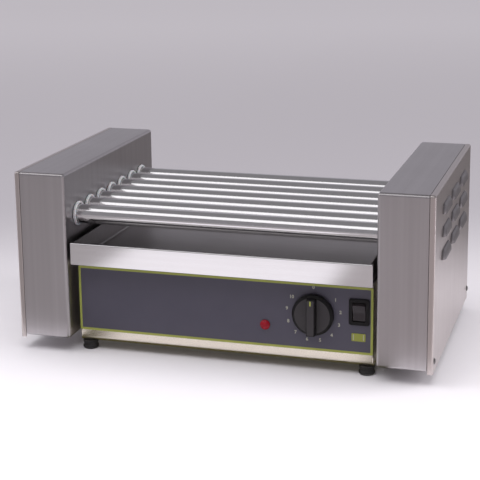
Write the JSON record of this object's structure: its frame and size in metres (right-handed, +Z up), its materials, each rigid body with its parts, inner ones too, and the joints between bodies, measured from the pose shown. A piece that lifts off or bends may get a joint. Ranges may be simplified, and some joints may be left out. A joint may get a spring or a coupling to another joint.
{
  "type": "hot dog roller grill",
  "caption": "Countertop roller grill: heated polished rollers turn between two louvred steel side housings over a pull-out drip tray, with a knob, lamp and switch on the base.",
  "frame": {"origin": "on the table under the middle of the machine", "axes": "+X to the user's right, along the rollers; +Y to the back; +Z up"},
  "size_m": [0.555, 0.32, 0.24],
  "materials": {
    "brushed_steel": "brushed, satin",
    "cover_steel": "brushed, satin, folded edges",
    "screw_steel": "dark oxidised steel",
    "tray_steel": "bright, near mirror on the front lip",
    "roller_chrome": "polished",
    "ptfe": "white, waxy",
    "zinc_steel": "zinc plated, dull",
    "heater_sheath": "dark heater sheath",
    "control_film": "dark grey film with a lime border line",
    "label_film": "yellow-green, blank",
    "red_lens": "translucent red lens",
    "black_plastic": "black, semi-matt",
    "rocker_plastic": "black, glossy",
    "ceramic": "off-white, unglazed",
    "foot_rubber": "black rubber"
  },
  "bodies": {
    "chassis": {"left_housing": "brushed_steel", "right_housing": "brushed_steel", "base_pan": "brushed_steel", "deck_plate": "brushed_steel", "rear_panel": "brushed_steel", "front_panel": "brushed_steel", "left_cover": "cover_steel", "right_cover": "cover_steel", "left_cover_screw_front": "screw_steel", "left_cover_screw_rear": "screw_steel", "right_cover_screw_front": "screw_steel", "right_cover_screw_rear": "screw_steel", "left_bush_1": "ptfe", "right_bush_1": "ptfe", "left_bush_2": "ptfe", "right_bush_2": "ptfe", "left_bush_3": "ptfe", "right_bush_3": "ptfe", "left_bush_4": "ptfe", "right_bush_4": "ptfe", "left_bush_5": "ptfe", "right_bush_5": "ptfe", "left_bush_6": "ptfe", "right_bush_6": "ptfe", "left_bush_7": "ptfe", "right_bush_7": "ptfe", "drive_chain": "zinc_steel", "motor_bracket": "zinc_steel", "gearmotor": "zinc_steel", "heater_bank": "heater_sheath", "control_decal": "control_film", "power_label": "label_film", "pilot_lamp": "red_lens", "switch_frame": "black_plastic", "cord_gland": "black_plastic", "heat_regulator": "ceramic", "terminal_block": "ceramic", "foot_front_left": "foot_rubber", "foot_front_right": "foot_rubber", "foot_rear_left": "foot_rubber", "foot_rear_right": "foot_rubber"},
    "roller_1": {"roller_1": "roller_chrome", "sprocket_1": "zinc_steel"},
    "roller_2": {"roller_2": "roller_chrome", "sprocket_2": "zinc_steel"},
    "roller_3": {"roller_3": "roller_chrome", "sprocket_3": "zinc_steel"},
    "roller_4": {"roller_4": "roller_chrome", "sprocket_4": "zinc_steel"},
    "roller_5": {"roller_5": "roller_chrome", "sprocket_5": "zinc_steel"},
    "roller_6": {"roller_6": "roller_chrome", "sprocket_6": "zinc_steel"},
    "roller_7": {"roller_7": "roller_chrome", "sprocket_7": "zinc_steel"},
    "motor_drive": {"motor_sprocket": "zinc_steel"},
    "tray": {"drip_tray": "tray_steel"},
    "knob": {"control_knob": "black_plastic"},
    "rocker": {"switch_rocker": "rocker_plastic"}
  },
  "joints": [
    {"name": "roller_1_spin", "type": "hinge", "parent": "chassis", "child": "roller_1", "pos_m": [0, -0.1205, 0.18], "axis": [1, 0, 0], "continuous": true},
    {"name": "roller_2_spin", "type": "hinge", "parent": "chassis", "child": "roller_2", "pos_m": [0, -0.0824, 0.18], "axis": [1, 0, 0], "continuous": true},
    {"name": "roller_3_spin", "type": "hinge", "parent": "chassis", "child": "roller_3", "pos_m": [0, -0.0443, 0.18], "axis": [1, 0, 0], "continuous": true},
    {"name": "roller_4_spin", "type": "hinge", "parent": "chassis", "child": "roller_4", "pos_m": [0, -0.0062, 0.18], "axis": [1, 0, 0], "continuous": true},
    {"name": "roller_5_spin", "type": "hinge", "parent": "chassis", "child": "roller_5", "pos_m": [0, 0.0319, 0.18], "axis": [1, 0, 0], "continuous": true},
    {"name": "roller_6_spin", "type": "hinge", "parent": "chassis", "child": "roller_6", "pos_m": [0, 0.07, 0.18], "axis": [1, 0, 0], "continuous": true},
    {"name": "roller_7_spin", "type": "hinge", "parent": "chassis", "child": "roller_7", "pos_m": [0, 0.1081, 0.18], "axis": [1, 0, 0], "continuous": true},
    {"name": "motor_spin", "type": "hinge", "parent": "chassis", "child": "motor_drive", "pos_m": [0.2155, -0.0062, 0.092], "axis": [1, 0, 0], "continuous": true},
    {"name": "tray_slide", "type": "slide", "parent": "chassis", "child": "tray", "axis": [0, -1, 0], "range_m": [0, 0.28]},
    {"name": "knob_turn", "type": "hinge", "parent": "chassis", "child": "knob", "pos_m": [0.12, -0.15, 0.0755], "axis": [0, -1, 0], "range_deg": [-306, 0]},
    {"name": "switch_rock", "type": "hinge", "parent": "chassis", "child": "rocker", "pos_m": [0.178, -0.139, 0.083], "axis": [-1, 0, 0], "range_deg": [0, 24]}
  ],
  "couplings": [
    {"joint": "roller_2_spin", "follows": "roller_1_spin", "ratio": 1},
    {"joint": "roller_3_spin", "follows": "roller_1_spin", "ratio": 1},
    {"joint": "roller_4_spin", "follows": "roller_1_spin", "ratio": 1},
    {"joint": "roller_5_spin", "follows": "roller_1_spin", "ratio": 1},
    {"joint": "roller_6_spin", "follows": "roller_1_spin", "ratio": 1},
    {"joint": "roller_7_spin", "follows": "roller_1_spin", "ratio": 1},
    {"joint": "motor_spin", "follows": "roller_1_spin", "ratio": 1}
  ]
}
